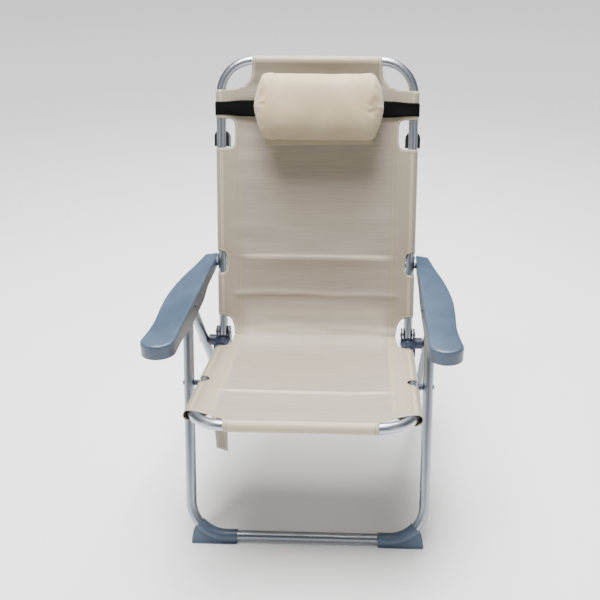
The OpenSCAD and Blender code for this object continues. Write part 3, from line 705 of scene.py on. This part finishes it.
def rounded(corners, reach=9.0):
    """An open outline with its corners rounded, and points no more than 5 mm apart."""
    path = [Vector(corners[0])]
    for a, b, c in zip(corners, corners[1:], corners[2:]):
        a, b, c = Vector(a), Vector(b), Vector(c)
        r1 = min(reach, (a - b).length * 0.45)
        r2 = min(reach, (c - b).length * 0.45)
        p, q = b + (a - b).normalized() * r1, b + (c - b).normalized() * r2
        path += [p * (1 - t) ** 2 + b * 2 * t * (1 - t) + q * t * t for t in (0, 0.25, 0.5, 0.75, 1)]
    path.append(Vector(corners[-1]))
    dense = [path[0]]
    for p in path[1:]:
        steps = max(1, int((p - dense[-1]).length / 5))
        start = dense[-1]
        dense += [start.lerp(p, i / steps) for i in range(1, steps + 1)]
    return dense


def grid_lines(stops):
    """Grid positions from (start, end, step) stretches."""
    out = []
    for lo, hi, step in stops:
        count = max(1, round((hi - lo) / step))
        out += [lo + (hi - lo) * i / count for i in range(count)]
    return out + [stops[-1][1]]


def cut_cloth(half, q_lines, v_lines, seam_at):
    """Triangles of a cut, from the outline of its right half, which runs from the middle of its far
    end to the middle of its seam, and from the lines of a grid. Returns flat points, triangles, and
    each point's distance in from a hemmed edge. The seam, where v is seam_at, has no hem."""
    loop = half + [Vector((-p.x, p.y)) for p in reversed(half)]
    ring = np.array([(p.x, p.y) for p in loop])
    nxt = np.roll(ring, -1, axis=0)
    grid = np.array([(s * q, v) for v in v_lines for q in q_lines for s in ((1, -1) if q > 0 else (1,))])
    steps = nxt - ring
    hemmed = ~((ring[:, 1] <= seam_at + 0.01) & (nxt[:, 1] <= seam_at + 0.01))

    def to_edges(points, segments):
        best = np.full(len(points), 1e9)
        for a, step in zip(ring[segments], steps[segments]):
            t = np.clip(((points - a) @ step) / max(1e-9, step @ step), 0, 1)
            best = np.minimum(best, np.hypot(*(points - a - np.outer(t, step)).T))
        return best

    inside = np.zeros(len(grid), bool)
    for a, b in zip(ring, nxt):
        crosses = (a[1] > grid[:, 1]) != (b[1] > grid[:, 1])
        with np.errstate(divide="ignore", invalid="ignore"):
            x = (b[0] - a[0]) * (grid[:, 1] - a[1]) / (b[1] - a[1]) + a[0]
        inside ^= crosses & (grid[:, 0] < x)
    every = np.ones(len(ring), bool)
    grid = grid[inside]
    grid = grid[to_edges(grid, every) > 1.6]
    points = [Vector(p) for p in ring] + [Vector(p) for p in grid]
    edges = [(i, (i + 1) % len(ring)) for i in range(len(ring))]
    flat, _, triangles, *_ = geometry.delaunay_2d_cdt(points, edges, [], 1, 1e-4)
    co = np.array([(p.x, p.y) for p in flat])
    return co, [tuple(t) for t in triangles], to_edges(co, hemmed)


def make_sheet(name, half, q_lines, v_lines, seam_at, point, flip, look):
    """A sheet from its cut. Returns the piece, its flat width and length, and its flat area."""
    co, triangles, hem = cut_cloth(half, q_lines, v_lines, seam_at)
    area = 0.0
    for a, b, c in triangles:
        area += abs((co[b][0] - co[a][0]) * (co[c][1] - co[a][1])
                    - (co[c][0] - co[a][0]) * (co[b][1] - co[a][1])) / 2
    if flip:
        triangles = [t[::-1] for t in triangles]
    made = put(name, [point(q, v) for q, v in co], triangles, look, "canvas")
    values = made.data.attributes.new("cloth", "FLOAT_VECTOR", "POINT")
    values.data.foreach_set("vector", np.column_stack([co, hem]).astype(np.float32).ravel())
    thicken(made, CLOTH_T * MM)
    width, length = np.ptp(co[:, 0]) * MM, np.ptp(co[:, 1]) * MM
    return made, (width, length), area * 1e-6


def sewn_edge(piece, seam_v):
    """Thins a sheet to a fine edge at the seam, so that the two sheets meet without a step."""
    fine = piece.vertex_groups.new(name="full_thickness")
    for i, v in enumerate(piece.data.attributes["cloth"].data):
        fine.add([i], max(0.08, smooth((v.vector[1] - seam_v) / 24)), "REPLACE")
    piece.modifiers["thickness"].vertex_group = fine.name
    rows = [v.vector[1] for v in piece.data.attributes["cloth"].data]
    for edge in piece.data.edges:
        edge.use_edge_sharp = max(rows[i] for i in edge.vertices) < seam_v + 0.01


WRAP_LINES = [(SIDE_X, SIDE_X + ARC, 2.3), (SIDE_X + ARC, FLAP_END, 8.0)]
Q_LINES = grid_lines([(0, SIDE_X, 6.0)] + WRAP_LINES)


def sleeve_cut(lo, hi, inner):
    """A notch between two sleeves, from v = lo to hi and in to q = inner, going down the side."""
    return [(FLAP_END, hi), (FOLD_OUT, hi), (SIDE_X, hi), (inner + 6, hi - 2), (inner, hi - 12),
            (inner, lo + 12), (inner + 6, lo + 2), (SIDE_X, lo), (FOLD_OUT, lo), (FLAP_END, lo)]


back_end = SLACK_BACK - BACK_SHARE
top_end = BACK_LEN + ARC + FLAP + 8
back_half = [(0.0, top_end), (146, top_end), (147, BACK_LEN), (150, 588), (166, 570), (200, 562),
             (SIDE_X, 561), (FOLD_OUT, 561), (FLAP_END, 566)]
back_half += sleeve_cut(431, 498, 188) + sleeve_cut(142, 194, 209.5)
back_half += [(FLAP_END, 44), (FOLD_OUT, 43), (SIDE_X, 42), (204, 38), (195, 24), (192, 4),
              (191, back_end), (0.0, back_end)]
back_v = grid_lines([(back_end, SLACK_BACK, 4.0), (SLACK_BACK, 86, 6.0), (86, 100, 3.0), (100, 166, 6.0),
                     (166, 198, 2.6), (198, BACK_LEN, 6.0), (BACK_LEN, BACK_LEN + ARC, 2.3),
                     (BACK_LEN + ARC, top_end, 8.0)])
SEAM_V = SLACK_SEAT - (CURVE_LEN - BACK_SHARE)
seat_end = SEAM_V - 3                # the seat's edge lies under the backrest's
front_end = SEAT_LEN + ARC + FLAP + 8
seat_half = [(0.0, front_end), (146, front_end), (148, SEAT_LEN), (153, 425), (176, 411),
             (205, 402), (SIDE_X, 398), (FOLD_OUT, 398), (FLAP_END, 396)]
# A slot lets the crossbar through the underside of the sleeve
seat_half += [(FLAP_END, 312), (SIDE_X + ARC - 4, 311), (SIDE_X + ARC - 4, 289), (FLAP_END, 288)]
seat_half += sleeve_cut(237, 265, 208)
seat_half += [(FLAP_END, 70), (FOLD_OUT, 68), (SIDE_X, 66), (204, 62), (196, 50), (192, 32),
              (191, seat_end), (0.0, seat_end)]
seat_v = grid_lines([(seat_end, SLACK_SEAT, 4.0), (SLACK_SEAT, 284, 6.0), (284, 316, 2.6),
                     (316, SEAT_LEN, 6.0), (SEAT_LEN, SEAT_LEN + ARC, 2.3),
                     (SEAT_LEN + ARC, front_end, 8.0)])

back_sheet, flat, area = make_sheet("backrest_sling", rounded(back_half), Q_LINES, back_v, back_end,
                                    back_point, False, SLING)
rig.replaces(back_sheet, "back_sling")
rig.sheet(back_sheet, flat=flat, held="stretched", rests_on=["back_frame", "back_crossbar"], area=area)
sewn_edge(back_sheet, back_end)
seam = back_point(0.0, back_end)
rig.blend(back_sheet, "back_pins", "backrest", start=seam, end=back_point(0.0, 50.0))

seat_sheet, flat, area = make_sheet("seat_sling_cloth", rounded(seat_half), Q_LINES, seat_v, seat_end,
                                    seat_point, True, SEAT_SLING)
sewn_edge(seat_sheet, SEAM_V)
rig.replaces(seat_sheet, "seat_sling")
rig.sheet(seat_sheet, flat=flat, held="stretched", rests_on=["seat_frame", "seat_crossbar"], area=area)
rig.blend(seat_sheet, "seat", "back_pins", start=seat_point(0.0, 66.0), end=seat_point(0.0, SEAM_V))


# ---- closing tab: a strap that hangs from the seat's cloth beside the left front corner ----
TAB_X, TAB_S, TAB_TOP = -166.0, 417.5, 10.0
TAB_WIDTH, TAB_LENGTH = 22.0, 68.0
TAB_ROWS, TAB_COLUMNS = 13, 5


def tab_points():
    """Points row by row down the tab, which flares at its top and ripples a little."""
    out = []
    for i in range(TAB_ROWS):
        t = i / (TAB_ROWS - 1)
        drop = TAB_TOP - TAB_LENGTH * t
        for j in range(TAB_COLUMNS):
            x = TAB_X + TAB_WIDTH * j / (TAB_COLUMNS - 1) + 3.0 * (1 - t) ** 3 * (j - 2)
            out.append(on_seat(x, TAB_S + 1.4 * math.sin(5 * t + j * 0.5), drop - 1.5 * j * t))
    return out


def tab_cloth():
    """The tab's own place in the canvas pattern, as across, along and distance in from its edge."""
    return [v for i in range(TAB_ROWS) for j in range(TAB_COLUMNS)
            for v in (200 + 5.5 * j, 5.7 * i, 5.5 * min(j, 4 - j) + 1)]


tab = put("closing_tab", tab_points(), grid_faces(TAB_ROWS, TAB_COLUMNS), SLING, "canvas", "seat")
tab.data.attributes.new("cloth", "FLOAT_VECTOR", "POINT").data.foreach_set("vector", tab_cloth())
thicken(tab, 1.6 * MM, 0.0)
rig.replaces(tab, "closing_strap")
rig.sheet(tab, flat=(0.022, 0.068), held="hung", rests_on=["seat_sling_cloth"])


# ---- pillow: a stuffed roll whose end seams gather the cloth, by cloth simulation ----
PILLOW_U, PILLOW_HALF, PILLOW_H, PILLOW_D = 521.0, 142.0, 150.0, 80.0
PILLOW_BACK = 14.4
PILLOW_X = 7.0                    # the pillow has slid a little to the right on its strap
END_SEAM = 134.0                  # how far the end seams are from its middle
RINGS, AROUND = 66, 96
STUFFING_FRAMES = 24
STUFFING_CAP = 4.5                # how far stuffing may move a point
TO_DECIMETRES = 100


def pillow_surface(x, angle):
    """Section of the pillow: a roll with a flattened back, rounding off towards its ends."""
    end = abs(x) / PILLOW_HALF
    close = (1 - end ** 14) ** 0.42
    hu, hd = PILLOW_H / 2 * (0.94 + 0.06 * close), PILLOW_D / 2
    c, s = math.cos(angle), math.sin(angle)
    u = math.copysign(abs(c) ** 0.88, c) * hu * close
    n = math.copysign(abs(s) ** (0.88 if s > 0 else 0.6), s) * hd * close
    return u, n


def pillow_grid():
    """Points of the pillow before it is stuffed, as (x, u, n) from its own middle, in mm."""
    out = []
    for i in range(RINGS + 1):
        e = -1 + 2 * i / RINGS
        x = PILLOW_HALF * (0.62 * math.sin(e * math.pi / 2) + 0.38 * e) * 0.9995
        for j in range(AROUND):
            angle = 2 * math.pi * j / AROUND
            u, n = pillow_surface(x, angle)
            seam_dip = 1 - 0.035 * math.exp(-((abs(x) - END_SEAM) / 3.5) ** 2)
            loose = 1 + 0.010 * curl(x, 60 * angle, 50, 34, 12.0)
            slump = 1.5 * (1 - (x / PILLOW_HALF) ** 2)
            out.append(Vector((x, u * seam_dip * loose - slump, n * seam_dip * loose)))
    return out


def pillow_faces():
    faces = []
    for i in range(RINGS):
        faces += quad_band(AROUND * i, AROUND * (i + 1), AROUND)
    faces.append(tuple(reversed(range(AROUND))))
    faces.append(tuple(range(AROUND * RINGS, AROUND * (RINGS + 1))))
    return faces


def stuffed(points):
    """The grid after the cloth simulation: seams shrink, the cloth beside them is too wide for
    them and gathers, and pressure holds it out. Lengths are in decimetres while it runs."""
    scene = bpy.context.scene
    mesh = bpy.data.meshes.new("stuffing")
    mesh.from_pydata([tuple(p / TO_DECIMETRES) for p in points], [], pillow_faces())
    cloth = bpy.data.objects.new("stuffing", mesh)
    scene.collection.objects.link(cloth)
    hold, gather = cloth.vertex_groups.new(name="hold"), cloth.vertex_groups.new(name="gather")
    for i, p in enumerate(points):
        past = abs(p.x) - END_SEAM
        firm = 0.20 if p.z < -20 else 0.05
        hold.add([i], firm, "REPLACE")
        if abs(past) < 3:
            pull = 1.0
        elif -34 < past < 0:
            pull = 0.0
        else:
            pull = 0.45
        gather.add([i], pull, "REPLACE")
    made = cloth.modifiers.new("cloth", "CLOTH")
    rules = made.settings
    rules.quality, rules.mass, rules.air_damping = 6, 0.3, 2.0
    rules.tension_stiffness = rules.compression_stiffness = 15
    rules.shear_stiffness, rules.bending_stiffness = 6, 0.6
    rules.vertex_group_mass, rules.pin_stiffness = "hold", 1.0
    rules.vertex_group_shrink = "gather"
    rules.shrink_min, rules.shrink_max = -0.035, 0.05
    rules.use_pressure, rules.uniform_pressure_force = True, 0.9
    rules.effector_weights.gravity = 0.0
    made.point_cache.frame_start, made.point_cache.frame_end = 1, STUFFING_FRAMES
    before = scene.frame_current
    for f in range(1, STUFFING_FRAMES + 1):
        scene.frame_set(f)
    shaped = cloth.evaluated_get(bpy.context.evaluated_depsgraph_get())
    out = [Vector(v.co) * TO_DECIMETRES for v in shaped.data.vertices]
    scene.frame_set(before)
    bpy.data.objects.remove(cloth, do_unlink=True)
    return out


def pillow_points():
    """The stuffed pillow's points on the backrest, with its back kept flat against the canvas."""
    grid = pillow_grid()
    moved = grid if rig.quick() else stuffed(grid)
    points = []
    for start, now in zip(grid, moved):
        step = now - start
        if step.length > STUFFING_CAP:
            step *= STUFFING_CAP / step.length
        p = start + step
        n = max(0.0, p.z + PILLOW_D / 2)
        points.append(on_back(PILLOW_X + p.x, PILLOW_U + p.y, PILLOW_BACK + n))
    return points


pillow = put("head_pillow_cover", pillow_points(), pillow_faces(), PILLOW, "pillow", "backrest")
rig.replaces(pillow, "head_pillow")
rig.padded(pillow, fill=0.8)
rounding = pillow.modifiers.new("smooth", "SUBSURF")
rounding.levels = rounding.render_levels = 1

# ---- the pillow cover's turned hem, which hangs a little below the roll ----
HEM_LEFT, HEM_WIDTH, HEM_HEIGHT = -124, 246, 15
HEM_TOP, HEM_TILT = 66, 2.5       # how far its top is below the pillow's middle, and its skew
HEM_ROWS, HEM_COLUMNS = 49, 5


def hem_points():
    """Points from the hem's left end to its right, each row from its top down."""
    out = []
    for i in range(HEM_ROWS):
        x = HEM_LEFT + HEM_WIDTH * i / (HEM_ROWS - 1)
        for j in range(HEM_COLUMNS):
            down = j / (HEM_COLUMNS - 1)
            u = PILLOW_U - HEM_TOP - HEM_HEIGHT * down - HEM_TILT * x / HEM_LEFT * down
            n = PILLOW_BACK + 9 - 1.9 * j + 0.8 * curl(x, 10 * j, 30, 30, 21.0)
            out.append(on_back(PILLOW_X + x, u, n))
    return out


hem = put("pillow_hem", hem_points(), grid_faces(HEM_ROWS, HEM_COLUMNS), PILLOW, "pillow", "backrest")
thicken(hem, 1.6 * MM, 0.0)
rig.replaces(hem, "head_pillow")
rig.sheet(hem, flat=(0.246, 0.017), held="hung", rests_on=["head_pillow_cover"])


# ---- pillow strap: one elastic loop round the backrest, narrower where it turns ----
STRAP_HALF = 18.0                 # half the strap's width
STRAP_ROWS = 9                    # points across its width
STRAP_STEPS, STRAP_TURN = 40, 24  # steps along a straight run, and round a tube


def strap_path(r):
    """The loop seen from above, as (x, n): along the front, round the right tube, back and round."""
    path = []
    for side in (1, -1):
        for i in range(STRAP_STEPS + 1):
            path.append((side * (-SIDE_X + 2 * SIDE_X * i / STRAP_STEPS), side * r))
        for i in range(1, STRAP_TURN):
            a = math.pi * i / STRAP_TURN
            path.append((side * (SIDE_X + r * math.sin(a)), side * r * math.cos(a)))
    return path


def strap_mesh():
    """Points and faces of the strap, which creases a little where it nears the tubes."""
    r = CLOTH_R + CLOTH_T + 0.75
    path, rows = strap_path(r), STRAP_ROWS
    points, faces = [], []
    for x, n in path:
        narrow = 1 - 0.20 * smooth((abs(x) - 170) / 45)
        for j in range(rows):
            t = -1 + 2 * j / (rows - 1)
            crease = 0.7 * math.sin(3.2 * t + 0.02 * x) * smooth((abs(x) - 150) / 40)
            lift = (crease + 0.7) * (1 if n > 0 else -1) * (1 if abs(n) > r - 0.01 else 0)
            points.append(on_back(x, PILLOW_U - 1 + STRAP_HALF * narrow * t, n + lift))
    count = len(path)
    for i in range(count):
        for j in range(rows - 1):
            a, b = i * rows + j, (i + 1) % count * rows + j
            faces.append((a, b, b + 1, a + 1))
    return points, faces


strap = put("pillow_strap_webbing", *strap_mesh(), ELASTIC, "elastic", "backrest")
thicken(strap, 0.9 * MM, 1.0)
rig.replaces(strap, "pillow_strap")


# ---- armrests: the CAD outline with rounded edges, a soft crown and deeper walls over the rack ----
ARM_X, ARM_TOP, ARM_DROP, ARM_WALL = 236.0, 17.0, 11.0, 3.0
ARM_EDGE = [(-25, 264), (50, 275), (110, 287), (170, 296), (235, 301), (300, 299), (360, 295),
            (405, 297), (436, 301)]
NOSE_R, ARM_FRONT, ARM_BACK = 31.0, 467.0, 25.0
ARM_ROUND = 5.0                   # radius of the top's edge
ARM_STEPS = 46                    # points along each long side


def edge_x(s):
    """The outer edge's distance from the chair's middle, straight from point to point."""
    i = max(0, min(len(ARM_EDGE) - 2, sum(1 for p in ARM_EDGE if p[0] < s) - 1))
    (s0, x0), (s1, x1) = ARM_EDGE[i], ARM_EDGE[i + 1]
    return x0 + (x1 - x0) * (s - s0) / (s1 - s0)


def soft_edge(s):
    """The outer edge with its corners smoothed."""
    return sum(edge_x(s + d) for d in (-18, -9, 0, 9, 18)) / 5


def skirt(s):
    """How much deeper the armrest's walls are where they hide the rack and the rear leg's end."""
    return 12.0 * smooth((s - 105) / 70) * smooth((395 - s) / 90)


def arm_outline(m):
    """The armrest's outline as (x, s), brought in by m all round."""
    nose = ARM_FRONT - NOSE_R
    x_in, x_out = ARM_X + m, soft_edge(nose - 1) - m
    mid, half = (x_in + x_out) / 2, (x_out - x_in) / 2
    out = []
    for i in range(ARM_STEPS):
        out.append((x_in, nose - (nose + ARM_BACK - m) * i / (ARM_STEPS - 1)))
    for i in range(1, ARM_STEPS + 1):
        s = -ARM_BACK + m + (nose - 6 + ARM_BACK - m) * i / ARM_STEPS
        out.append((soft_edge(s) - m, s))
    for i in range(19):
        a = math.radians(10 * i)
        out.append((mid + half * math.cos(a), nose + (NOSE_R - m) * math.sin(a)))
    return out


def armrest_mesh(side):
    """Rings up the outside, over the rounded edge to the crowned top, and down the inside."""
    r = ARM_ROUND
    rings = [(0.0, -ARM_DROP)]
    rings += [(0.0, -ARM_DROP + (ARM_TOP - r + ARM_DROP) * k / 3) for k in (1, 2, 3)]
    rings += [(r - r * math.cos(a), ARM_TOP - r + r * math.sin(a))
              for a in (math.radians(15 * k) for k in range(1, 7))]
    rings += [(7.5, ARM_TOP + 0.2), (10.0, ARM_TOP + 0.3)]
    inner = [(10.0, ARM_TOP - ARM_WALL), (ARM_WALL, ARM_TOP - ARM_WALL), (ARM_WALL, 0.0),
             (ARM_WALL, -ARM_DROP + 0.5), (ARM_WALL - 0.6, -ARM_DROP), (0.6, -ARM_DROP)]
    points, faces = [], []
    count = len(arm_outline(0))
    for m, n in rings + inner:
        share = max(0.0, (ARM_TOP - r - n) / (ARM_TOP - r + ARM_DROP))
        points += [on_arm(side * x, s, n - skirt(s) * share) for x, s in arm_outline(m)]
    top, ceiling = (len(rings) - 1) * count, len(rings) * count
    last = ceiling + (len(inner) - 1) * count
    for start in range(0, top, count):
        faces += quad_band(start, start + count, count)
    for start in range(ceiling, last, count):
        faces += quad_band(start, start + count, count)
    faces += quad_band(last, 0, count)
    faces.append(tuple(range(top, top + count)))
    faces.append(tuple(reversed(range(ceiling, ceiling + count))))
    return points, faces


def settle(piece, sharp=35.0):
    """Triangulates large faces, joins doubled points, turns every face outwards and keeps the
    edges sharper than an angle crisp."""
    bm = bmesh.new()
    bm.from_mesh(piece.data)
    bmesh.ops.remove_doubles(bm, verts=bm.verts, dist=1e-5)
    bmesh.ops.triangulate(bm, faces=[f for f in bm.faces if len(f.verts) > 4])
    bmesh.ops.recalc_face_normals(bm, faces=bm.faces)
    for edge in bm.edges:
        if len(edge.link_faces) == 2 and edge.calc_face_angle(0.0) > math.radians(sharp):
            edge.smooth = False
    bm.to_mesh(piece.data)
    bm.free()


for side, name in SIDES:
    arm = put("armrest_shell_" + name, *armrest_mesh(side), ARM_BLUE, "armrest", "armrest_" + name)
    settle(arm)
    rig.replaces(arm, "armrest_" + name)


# ---- corner shoes: a round cuff along the bend, a thinner web out to the corner, a flat sole ----
CUFF_R, CUFF_IN, CUFF_END, SHOE_LEN = 13.3, 11.15, 51.0, 100.0
WEB_HALF, SOLE_HALF, FLOOR_RISE = 6.0, 7.8, 15.0
REAR_LEAN = math.radians(34.4)
CUFF_AROUND = 40


class LegPlane:
    """The plane of a leg frame: x across, n out of it to the rear, z up it from the floor bar."""

    def __init__(self, pivot, lean):
        self.pivot, self.c, self.k = pivot, math.cos(lean), math.sin(lean)
        self.length = (pivot.z - FLOOR_RISE) / self.c

    def point(self, x, n, z):
        up = z - self.length
        return Vector((x, self.pivot.y + n * self.c + up * self.k,
                       self.pivot.z - n * self.k + up * self.c)) * MM

    def floor(self, n):
        """z where the floor cuts the plane's layer n."""
        return (n * self.k - FLOOR_RISE) / self.c


def bend_path(half, degrees):
    """Place (x, z) on a leg frame's corner bend, and the angle turned, from the floor bar up."""
    a = math.radians(degrees)
    return half - BEND_R + BEND_R * math.sin(a), BEND_R - BEND_R * math.cos(a), a


def cuff(half, plane, side):
    """A tube swept from the floor bar round the bend, closed by its own inside."""
    straight = [(half - SHOE_LEN + (SHOE_LEN - BEND_R) * i / 5, 0.0, 0.0) for i in range(5)]
    spine = straight + [bend_path(half, CUFF_END * i / 20) for i in range(21)]
    rows = [(p, CUFF_R) for p in spine[1:-1]]
    rows = [(spine[0], CUFF_R - 0.9), (tuple(np.add(spine[0], (0.9, 0, 0))), CUFF_R)] + rows
    rows += [(bend_path(half, CUFF_END - 0.7), CUFF_R), (spine[-1], CUFF_R - 0.9)]
    rows += [(p, CUFF_IN) for p in reversed(spine)]
    points, faces = [], []
    for (x, z, a), r in rows:
        for j in range(CUFF_AROUND):
            t = 2 * math.pi * j / CUFF_AROUND
            out = r * math.cos(t)
            across = side * (x + out * math.sin(a))
            points.append(plane.point(across, r * math.sin(t), z - out * math.cos(a)))
    for i in range(len(rows)):
        faces += quad_band(i * CUFF_AROUND, (i + 1) % len(rows) * CUFF_AROUND, CUFF_AROUND)
    return points, faces


def stack(layers, count):
    """Faces of a solid whose layers have count points each, closed below and above."""
    faces = []
    for i in range(layers - 1):
        faces += quad_band(i * count, (i + 1) * count, count)
    faces.append(tuple(range(count)))
    faces.append(tuple(reversed(range(count * (layers - 1), count * layers))))
    return faces


def web(half, plane, side):
    """Plate between the cuff and the corner, standing on the floor, its edges rounded."""
    inner = half - SHOE_LEN + 1.5
    layers = [(-WEB_HALF, 1.2), (-WEB_HALF + 0.5, 0.35), (-WEB_HALF + 1.4, 0.0), (WEB_HALF - 1.4, 0.0),
              (WEB_HALF - 0.5, 0.35), (WEB_HALF, 1.2)]
    points, count = [], 0
    for n, inset in layers:
        low = plane.floor(n) + 0.3
        ring = [(inner + inset, low), (half - 10, low)]
        ring += [(half - 2.5 - inset, low), (half - 0.4 - inset, low + 1.8), (half - 0.6 - inset, low + 9)]
        ring += [(half - 1.8 - inset, 0.0), (half - 4.2 - inset, 11.0), (half - 7.0 - inset, 19.0)]
        x, z, _ = bend_path(half, CUFF_END - 3)
        ring += [(x, z)] + [bend_path(half, CUFF_END - 3 - 7 * i)[:2] for i in range(1, 7)]
        ring += [(half - BEND_R, 0.0), (inner + inset, 0.0)]
        count = len(ring)
        points += [plane.point(side * x, n, z) for x, z in ring]
    return points, stack(len(layers), count)


def sole(half, plane, side):
    """Flat rounded strip under the cuff and the web."""
    mid = plane.point(0, 0, plane.floor(0)).y / MM
    x0, x1, r = half - SHOE_LEN + 0.6, half + 0.4, 4.0
    ring = []
    for cx, cy, turn in ((x1 - r, SOLE_HALF - r, 0), (x0 + r, SOLE_HALF - r, 90),
                         (x0 + r, r - SOLE_HALF, 180), (x1 - r, r - SOLE_HALF, 270)):
        angles = [math.radians(turn + 15 * i) for i in range(7)]
        ring += [(cx + r * math.cos(a), cy + r * math.sin(a)) for a in angles]
    levels = [(0.0, 0.6), (0.5, 0.0), (2.4, 0.0), (3.2, 0.8)]
    middle = (x0 + x1) / 2
    points = []
    for z, inset in levels:
        for x, y in ring:
            shrink = 1 - inset / 20
            points.append(Vector((side * (middle + (x - middle) * shrink), mid + y * shrink, z)) * MM)
    return points, stack(len(levels), len(ring))


for kind, half, pivot, lean, body in (("front", 253.0, LEG, RECLINE, "front_legs"),
                                      ("rear", 268.0, HIP, -REAR_LEAN, "rear_legs")):
    for side, name in SIDES:
        plane, points, faces = LegPlane(pivot, lean), [], []
        for more, more_faces in (cuff(half, plane, side), web(half, plane, side), sole(half, plane, side)):
            faces += [tuple(i + len(points) for i in f) for f in more_faces]
            points += more
        foot = put("%s_shoe_%s" % (kind, name), points, faces, SHOE_BLUE, "shoe", body)
        settle(foot)
        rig.replaces(foot, "%s_foot_%s" % (kind, name))


# ---- floor and lights, in metres ----
FLOOR_HALF, FLOOR_Z = 14, -0.0004
WORLD_STRENGTH = 0.16
floor = Material("studio_floor")
pale = floor.mix(floor.noise(floor.place(), 1.3, 2.0), (0.90, 0.90, 0.90, 1), (0.92, 0.92, 0.92, 1))
# The floor glows beyond the softboxes' reach, so that it is about as pale there as round the chair
reach = floor.node("ShaderNodeVectorMath", operation="LENGTH")
floor.feed(reach.inputs[0], floor.place())
glow = floor.ramp(reach.outputs["Value"], 1.6, 6.5, 0.06, 0.95)
floor.set(Base_Color=pale, Roughness=0.9, Emission_Color=pale, Emission_Strength=glow)
corners = [(x * FLOOR_HALF, y * FLOOR_HALF, FLOOR_Z) for x, y in ((-1, -1), (1, -1), (1, 1), (-1, 1))]
ground = put("floor", corners, [(0, 1, 2, 3)], floor.mat, None)
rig.stage(ground)

world = bpy.data.worlds.new("studio")
bpy.context.scene.world = world
world.use_nodes = True
sky = world.node_tree.nodes["Background"]
sky.inputs["Color"].default_value = (0.96, 0.98, 1.0, 1.0)
sky.inputs["Strength"].default_value = WORLD_STRENGTH


def softbox(name, place, aim, size, power):
    """A rectangular area light at place, turned to aim."""
    lamp = bpy.data.lights.new(name, "AREA")
    lamp.shape, lamp.size, lamp.size_y = "RECTANGLE", size[0], size[1]
    lamp.energy = power
    made = bpy.data.objects.new(name, lamp)
    bpy.context.scene.collection.objects.link(made)
    made.location = place
    made.rotation_euler = (Vector(aim) - Vector(place)).to_track_quat("-Z", "Y").to_euler()


softbox("key", (-0.3, 0.08, 4.0), (0, 0, 0.4), (2.7, 2.1), 480)
softbox("top_rear", (0.25, 1.35, 2.9), (0, -0.1, 0.4), (1.4, 0.6), 60)
softbox("fill", (2.3, -2.2, 1.2), (0, 0, 0.5), (0.9, 2.2), 9)
softbox("side", (-2.3, -1.6, 1.2), (0, 0, 0.5), (0.9, 2.2), 9)

sizes = {"cad": [list(v) for v in cad_box], "visual": [list(v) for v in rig.bounds()]}
json.dump(sizes, open("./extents.json", "w"))
